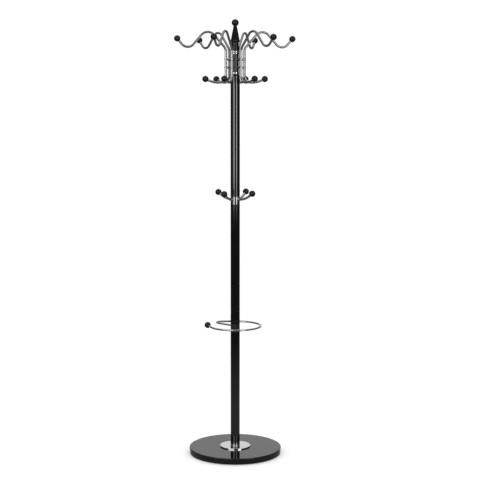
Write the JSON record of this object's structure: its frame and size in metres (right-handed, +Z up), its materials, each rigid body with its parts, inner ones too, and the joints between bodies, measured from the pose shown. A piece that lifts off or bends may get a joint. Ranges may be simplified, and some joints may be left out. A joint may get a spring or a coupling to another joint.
{
  "type": "standing coat rack",
  "caption": "Free-standing coat rack: round stone base, black pole with an umbrella ring and short hooks, and a turning crown of curved double-ended arms under a finial.",
  "frame": {"origin": "on the floor under the middle of the base, on the pole's axis", "axes": "+Z up the pole; +X along the first crown arm when the crown is at rest"},
  "size_m": [0.494, 0.4314, 1.7802],
  "materials": {
    "base_stone": "polished black stone",
    "felt": "dark felt",
    "zinc_steel": "zinc plated",
    "chrome": "polished chrome",
    "black_tube": "gloss black coating",
    "black_hub": "gloss black coating",
    "black_gloss": "gloss black",
    "ivory_nylon": "natural nylon"
  },
  "bodies": {
    "stand": {"base_disc": "base_stone", "base_pads": "felt", "base_bolt": "zinc_steel", "base_washer": "zinc_steel", "base_flange": "chrome", "foot_collar": "chrome", "lower_tube": "black_tube", "lower_tube_foot_nut": "zinc_steel", "lower_tube_head_nut": "zinc_steel", "umbrella_collar": "chrome", "lower_stud": "zinc_steel", "umbrella_ring": "chrome", "umbrella_ball": "black_gloss", "middle_tube": "black_tube", "middle_tube_foot_nut": "zinc_steel", "middle_tube_head_nut": "zinc_steel", "hook_collar": "chrome", "upper_stud": "zinc_steel", "middle_hook_1": "chrome", "middle_hook_2": "chrome", "middle_hook_3": "chrome", "middle_hook_4": "chrome", "middle_ball_1": "black_gloss", "middle_ball_2": "black_gloss", "middle_ball_3": "black_gloss", "middle_ball_4": "black_gloss", "upper_tube": "black_tube", "upper_tube_foot_nut": "zinc_steel", "pole_cap": "black_tube", "spindle": "zinc_steel", "thrust_washer": "ivory_nylon", "top_washer": "ivory_nylon", "finial": "black_gloss"},
    "crown": {"crown_bottom_ring": "chrome", "crown_hub": "black_hub", "lower_bush": "ivory_nylon", "upper_bush": "ivory_nylon", "crown_top_collar": "chrome", "crown_arm_1": "chrome", "crown_arm_2": "chrome", "crown_arm_3": "chrome", "crown_arm_4": "chrome", "crown_arm_5": "chrome", "crown_arm_6": "chrome", "upper_ball_1": "black_gloss", "upper_ball_2": "black_gloss", "upper_ball_3": "black_gloss", "upper_ball_4": "black_gloss", "upper_ball_5": "black_gloss", "upper_ball_6": "black_gloss", "lower_ball_1": "black_gloss", "lower_ball_2": "black_gloss", "lower_ball_3": "black_gloss", "lower_ball_4": "black_gloss", "lower_ball_5": "black_gloss", "lower_ball_6": "black_gloss", "arm_spacers": "chrome", "arm_screws": "chrome"}
  },
  "joints": [
    {"name": "crown_spin", "type": "hinge", "parent": "stand", "child": "crown", "pos_m": [0, 0, 1.6], "axis": [0, 0, 1], "continuous": true}
  ]
}
